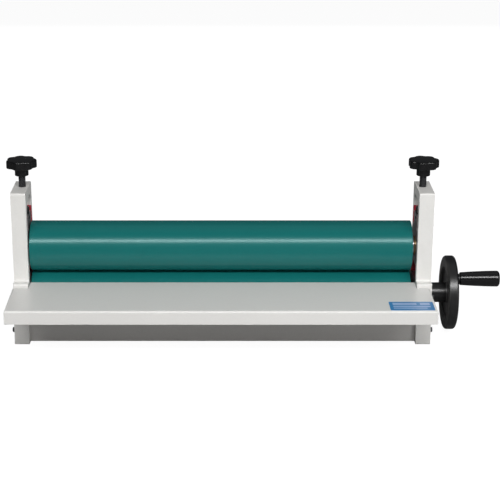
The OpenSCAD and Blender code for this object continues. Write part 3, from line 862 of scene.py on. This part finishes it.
def threaded_rod(name, x, y, low, high, radius, pitch, steps=32):
    """A threaded rod standing at (x, y) from low to high, ends chamfered."""
    drawing = bmesh.new()
    depth = 0.54 * pitch
    thread_skin(drawing, (x, y), low, high, radius - 0.02, pitch, depth, steps)
    rod = as_object(name, drawing)
    drawing = bmesh.new()
    turned(drawing, [(radius - depth, low), (radius + 0.2, low + depth + 0.2),
                     (radius + 0.2, high - depth - 0.2), (radius - depth, high)],
           (x, y, 0), along="Z", steps=steps)
    return keep_inside(rod, as_object("trim", drawing))


# %% [markdown]
# ## Pressure screws and collars
#
# A coarse metric screw stands in the top of each column. Two black steel collars
# are pinned to it, one above and one below the plate of the sliding block, so
# that turning the knob pushes the block down or draws it up.

# %% Pressure screws and thrust collars
screw_low, screw_high = z_of("right_pressure_screw")
collar_low, collar_high = z_of("right_thrust_collars")
collar_r = size_mm(*[c.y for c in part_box("right_thrust_collars")]) / 2
screw_r, coarse_pitch = 6, 1.75
lower_collar_h, upper_collar_h = 5, 11
for side, sign in both_sides():
    rod = threaded_rod(side + "_screw_thread", sign * screw_x, 0, screw_low, screw_high,
                       screw_r, coarse_pitch)
    finish_piece(rod, black_oxide, side + "_knob", [side + "_pressure_screw"])
    drawing = bmesh.new()
    for low, high in ((collar_low, collar_low + lower_collar_h),
                      (collar_high - upper_collar_h, collar_high)):
        turned(drawing, rounded([(screw_r + 0.05, low, 0), (collar_r, low, 0.7),
                                 (collar_r, high, 0.7), (screw_r + 0.05, high, 0)], 3),
               (sign * screw_x, 0, 0), along="Z", steps=64, closed=True)
    finish_piece(as_object(side + "_collars", drawing), black_oxide, side + "_knob",
                 [side + "_thrust_collars"])

# %% [markdown]
# ## Knobs
#
# A lobed knob of black phenolic sits on each screw. Its head has seven rounded
# lobes with hollows between them for the fingers, a softly domed top and an
# undercut that leads into the hub. The lobes are a radius that depends on the
# angle; the dome is the same outline drawn in step by step.

# %% Lobed knobs
knob_low, knob_high = z_of("right_knob")
knob_r = size_mm(middle.x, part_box("right_knob")[1].x) - screw_x
lobe_r, lobe_depth, lobes = 0.33 * knob_r, 3.3, 7
hub_r, hub_h = 11.5, 14
lobe_seat = knob_r - lobe_r


def lobe_line(angle):
    """Radius of the knob's head: round lobes blended into a smaller circle."""
    part = math.tau / lobes
    off = abs((angle + part / 2) % part - part / 2)
    reach = lobe_r ** 2 - (lobe_seat * math.sin(off)) ** 2
    lobe = lobe_seat * math.cos(off) + math.sqrt(max(reach, 0.0))
    core = knob_r - lobe_depth
    return (lobe ** 24 + core ** 24) ** (1 / 24) * knob_r / (
        (knob_r ** 24 + core ** 24) ** (1 / 24))


def drawn_in(amount, flatten=0.0):
    """The head's outline drawn in by an amount; flatten wears the lobes away."""
    middle_r = knob_r - lobe_depth / 2

    def radius(angle):
        r = lobe_line(angle)
        return r + (middle_r - r) * flatten - amount
    return radius


head_low = knob_low + hub_h
for side, sign in both_sides():
    drawing = bmesh.new()
    bore_r, bore_top = screw_r + 0.06, screw_high + 0.5
    profile = [(bore_r, bore_top), (bore_r, knob_low + 0.5), (bore_r + 0.5, knob_low),
               (hub_r - 0.7, knob_low), (hub_r - 0.2, knob_low + 0.2),
               (hub_r, knob_low + 0.7), (hub_r, head_low - 1.2),
               (hub_r + 0.35, head_low - 0.35), (hub_r + 1.2, head_low)]
    profile += [(drawn_in(4.0, 0.3), head_low + 0.02), (drawn_in(1.0), head_low + 0.1),
                (drawn_in(0.3), head_low + 0.45), (drawn_in(0.05), head_low + 1.1)]
    profile += [(drawn_in(0.0), head_low + 5.0), (drawn_in(0.05), knob_high - 2.9)]
    for share in (0.2, 0.4, 0.6, 0.8, 1.0):
        bend = math.radians(90 * share)
        profile.append((drawn_in(0.05 + 2.3 * (1 - math.cos(bend)), 0.1 * share),
                        knob_high - 2.9 + 2.5 * math.sin(bend)))
    profile += [(drawn_in(7.0, 0.6), knob_high - 0.2), (drawn_in(12.0, 1.0), knob_high - 0.1),
                (5.0, knob_high - 0.02), (1.0, knob_high)]
    start = 0.0 if sign > 0 else math.pi
    turned(drawing, profile, (sign * screw_x, 0, 0), along="Z", steps=140, phase=start)
    knob = as_object(side + "_lobed_knob", drawing)
    finish_piece(knob, knob_black, side + "_knob", [side + "_knob"], smooth=50)

# %% [markdown]
# ## Rollers
#
# Each roller is a steel tube with a thick sleeve of green rubber. The sleeve is
# ground straight, and its two rims are broken with a small chamfer so that the
# rubber doesn't chip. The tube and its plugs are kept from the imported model.

# %% Rubber sleeves
for node, body, axis_z in (("upper_roller_rubber", "upper_roller", upper_z),
                           ("lower_roller_rubber", "lower_roller", lower_z)):
    x0, x1 = x_of(node)
    core_r = roller_r - 8
    drawing = bmesh.new()
    sleeve = rounded([(core_r, x0, 0), (roller_r, x0, 1.0), (roller_r, x1, 1.0),
                      (core_r, x1, 0)], 4)
    turned(drawing, sleeve, (0, 0, axis_z), steps=180, closed=True)
    finish_piece(as_object(node + "_sleeve", drawing), roller_rubber, body,
                 [node])

# %% [markdown]
# ## Handwheel
#
# The wheel is a solid disc with a heavy rounded rim, a thinner dished web and a
# long hub that reaches back to the side frame. It is drawn as one section with
# fillets where the web meets the rim and the hub, and spun round the shaft. A
# slot takes the key, and a hole in the rim takes the crank's spindle.

# %% Handwheel
wheel_x0, wheel_x1 = x_of("handwheel")
wheel_low, wheel_high = z_of("handwheel")
wheel_r = (wheel_high - wheel_low) / 2
rim_w, rim_depth, web_t, seat_r, wheel_hub_r = 18, 22, 8, 8.05, 17.5
rim_x0 = wheel_x1 - rim_w
rim_in = wheel_r - rim_depth
web_x0 = rim_x0 + (rim_w - web_t) / 2
hub_end = wheel_x1 - 4
drawing = bmesh.new()
section = rounded([
    (seat_r, wheel_x0, 0.5), (wheel_hub_r - 0.6, wheel_x0, 1.2),
    (wheel_hub_r, web_x0, 3), (rim_in + 0.6, web_x0 - 1, 3), (rim_in, rim_x0, 4.5),
    (wheel_r, rim_x0, 4.6), (wheel_r, wheel_x1, 4.6), (rim_in, wheel_x1, 4.5),
    (rim_in + 0.6, web_x0 + web_t - 1, 3), (wheel_hub_r + 0.8, web_x0 + web_t, 0.4),
    (wheel_hub_r, hub_end, 0.8), (seat_r, hub_end, 0.5)], 6)
turned(drawing, section, (0, 0, lower_z), steps=144, closed=True)
wheel = as_object("wheel", drawing)

key_low, key_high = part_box("handwheel_key")
drawing = bmesh.new()
slot_gap = 0.06 * MM
bmesh.ops.create_cube(drawing, size=1)
for vert in drawing.verts:
    low = key_low - Vector((slot_gap,) * 3)
    high = key_high + Vector((slot_gap,) * 3)
    place = Vector([low[i] if vert.co[i] < 0 else high[i] for i in range(3)])
    vert.co = (place - middle) / MM
cut_away(wheel, as_object("key_slot", drawing))

spindle_low, spindle_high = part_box("crank_spindle")
crank_y = ((spindle_low.y + spindle_high.y) / 2 - middle.y) / MM
crank_z = (spindle_low.z + spindle_high.z) / 2 / MM
spindle_r = 4
drawing = bmesh.new()
turned(drawing, [(spindle_r + 0.03, rim_x0 - 1), (spindle_r + 0.03, wheel_x1 + 1)],
       (0, crank_y, crank_z), steps=40)
cut_away(wheel, as_object("spindle_hole", drawing))
finish_piece(wheel, wheel_black, "lower_roller", ["handwheel"])

# %% [markdown]
# ## Crank grip
#
# The grip turns freely on its spindle. It swells towards the outer end, where it
# is rounded over, and the spindle's head lies sunk in a round recess.

# %% Crank grip
grip_x0, grip_x1 = x_of("crank_grip")
grip_r1, grip_r2, grip_end, recess_r, recess_d = 11.0, 13.5, 4.4, 8.0, 8.0
bore = spindle_r + 0.05
neck = [(grip_r1 - 1.2, grip_x0), (grip_r1 - 0.6, grip_x0 + 0.2),
        (grip_r1 - 0.2, grip_x0 + 0.8)]
swell = []
for k in range(15):
    t = k / 14
    r = grip_r1 + (grip_r2 - grip_r1) * (1 - (1 - t) ** 1.7)
    swell.append((r, grip_x0 + 1.6 + (grip_x1 - grip_end - grip_x0 - 1.6) * t))
nose = [(grip_r2 - grip_end * (1 - math.cos(a)), grip_x1 - grip_end * (1 - math.sin(a)))
        for a in (math.radians(90 * k / 7) for k in range(1, 8))]
hollow = [(recess_r + 0.4, grip_x1), (recess_r, grip_x1 - 0.5),
          (recess_r, grip_x1 - recess_d), (bore, grip_x1 - recess_d), (bore, grip_x0)]
drawing = bmesh.new()
turned(drawing, neck + swell + nose + hollow, (0, crank_y, crank_z), steps=96, closed=True)
finish_piece(as_object("grip", drawing), grip_black, "crank_grip",
             ["crank_grip"])


# %% [markdown]
# ## Cap screws
#
# The heads on the outer faces have a hexagon socket, a chamfered rim and fine
# grooves round the side for the fingers. A hexagon is a turned outline whose
# radius follows the six flats.

# %% Cap screws
def hexagon(across_flats):
    def radius(angle):
        return across_flats / 2 / math.cos((angle + math.pi / 6) % (math.pi / 3)
                                           - math.pi / 6)
    return radius


def grooved(r, depth, steps):
    def radius(angle):
        return r - depth * (round(angle / math.tau * steps) % 2)
    return radius


def cap_screw(mesh, seat, length, r, head_r, head_h, socket, y, z, sign, steps=96):
    """A cap screw lying along x with its head seated at `seat` on the outer side."""
    socket_d = head_h * 0.5
    side_line = grooved(head_r, 0.16, steps)
    profile = [(r - 0.7, -length), (r, -length + 0.7), (r, -0.01), (head_r - 0.3, 0.0),
               (side_line, 0.35), (side_line, head_h - 0.8), (head_r - 0.25, head_h - 0.35),
               (head_r - 0.75, head_h), (socket / 2 / math.cos(math.pi / 6) + 0.35, head_h),
               (hexagon(socket), head_h - 0.3), (hexagon(socket), head_h - socket_d),
               (0.3, head_h - socket_d - 0.4)]
    stations = [(radius, sign * (seat + distance)) for radius, distance in profile]
    turned(mesh, stations, (0, y, z), steps=steps)


panel_screw_l = 34
drawing = bmesh.new()
for sign in (-1, 1):
    for y, z in panel_screws:
        cap_screw(drawing, outer_x, panel_screw_l, 2.5, 4.25, 5, 4, y, z, sign)
finish_piece(as_object("panel_cap_screws", drawing), black_oxide, "frame",
             ["cross_panel_screws"], smooth=30)

block_screw_l = 14
drawing = bmesh.new()
for sign in (-1, 1):
    for y in (-block_screw_y, block_screw_y):
        cap_screw(drawing, outer_x, block_screw_l, 3, 5.4, 3.6, 4.2, y,
                  lower_z - block_screw_y, sign)
finish_piece(as_object("block_cap_screws", drawing), black_oxide, "frame",
             ["lower_block_screws"], smooth=30)

seat_x = x_of("handwheel_washer")[1]
drawing = bmesh.new()
cap_screw(drawing, seat_x, 15, 3, 5.4, 6, 4.2, 0, lower_z, 1)
finish_piece(as_object("wheel_cap_screw", drawing), black_oxide, "lower_roller",
             ["handwheel_screw"], smooth=30)

# %% [markdown]
# ## Table studs
#
# Four short studs are welded under the table and pass through the shelf of the
# front panel, where nuts hold them. They are only seen from below.

# %% Table studs
stud_r, fine_pitch = 2.5, 0.8
for i, (x, y) in enumerate(stud_places):
    stud = threaded_rod("table_stud_%d" % (i + 1), x, y, stud_foot, table_top - 0.8,
                        stud_r, fine_pitch, steps=20)
    finish_piece(stud, zinc, "frame", ["feed_table"])

# %% [markdown]
# ## Label
#
# A thin film with rounded corners lies in the table's front corner on the crank
# side. The printing is stood for by plain pale bars that say nothing.

# %% Label
label_x, label_y = x_of("feed_table_label"), y_of("feed_table_label")
label_low, label_high = z_of("feed_table_label")


def film(name, x0, x1, y0, y1, radius, low, high):
    drawing = bmesh.new()
    outline = rounded([(x0, y0, radius), (x1, y0, radius), (x1, y1, radius),
                       (x0, y1, radius)], 6)
    skin_rings(drawing, [[(x, y, z) for x, y in outline] for z in (low, high)])
    return as_object(name, drawing)


backing_top = label_high - 0.05
finish_piece(film("label_film", *label_x, *label_y, 2.5, label_low, backing_top),
             label_blue, "frame", ["feed_table_label"])
across = label_x[1] - label_x[0]
deep = label_y[1] - label_y[0]
for i, (start, end, low, high) in enumerate((
        (0.08, 0.62, 0.62, 0.86), (0.08, 0.92, 0.38, 0.50), (0.08, 0.84, 0.20, 0.29),
        (0.70, 0.92, 0.62, 0.86))):
    bar = film("label_bar_%d" % (i + 1), label_x[0] + across * start,
               label_x[0] + across * end, label_y[0] + deep * low,
               label_y[0] + deep * high, 0.8, backing_top - 0.02, label_high)
    finish_piece(bar, label_pale, "frame", ["feed_table_label"])

# %% [markdown]
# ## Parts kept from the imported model
#
# Blocks, bushes, journals, nuts and strips are already the right shape. They
# only need their finish.

# %% Finishes on the kept parts
kept = {
    "cross_panel_nuts": zinc, "feed_table_nuts": zinc,
    "left_lower_block": block_steel, "right_lower_block": block_steel,
    "left_upper_block": block_steel, "right_upper_block": block_steel,
    "left_lower_bush": bronze, "right_lower_bush": bronze,
    "left_upper_bush": bronze, "right_upper_bush": bronze,
    "left_guide_strips": strip_red, "right_guide_strips": strip_red,
    "upper_roller_tube": turned_steel, "lower_roller_tube": turned_steel,
    "upper_left_journal": turned_steel, "upper_right_journal": turned_steel,
    "lower_left_journal": turned_steel, "drive_shaft": turned_steel,
    "upper_spacer": turned_steel, "lower_spacer": turned_steel,
    "handwheel_key": block_steel, "handwheel_washer": zinc,
    "crank_spindle": black_oxide,
}
for node, finish in kept.items():
    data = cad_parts[node].data
    data.materials.clear()
    data.materials.append(finish)
print("kept from the packed model:", len(kept))
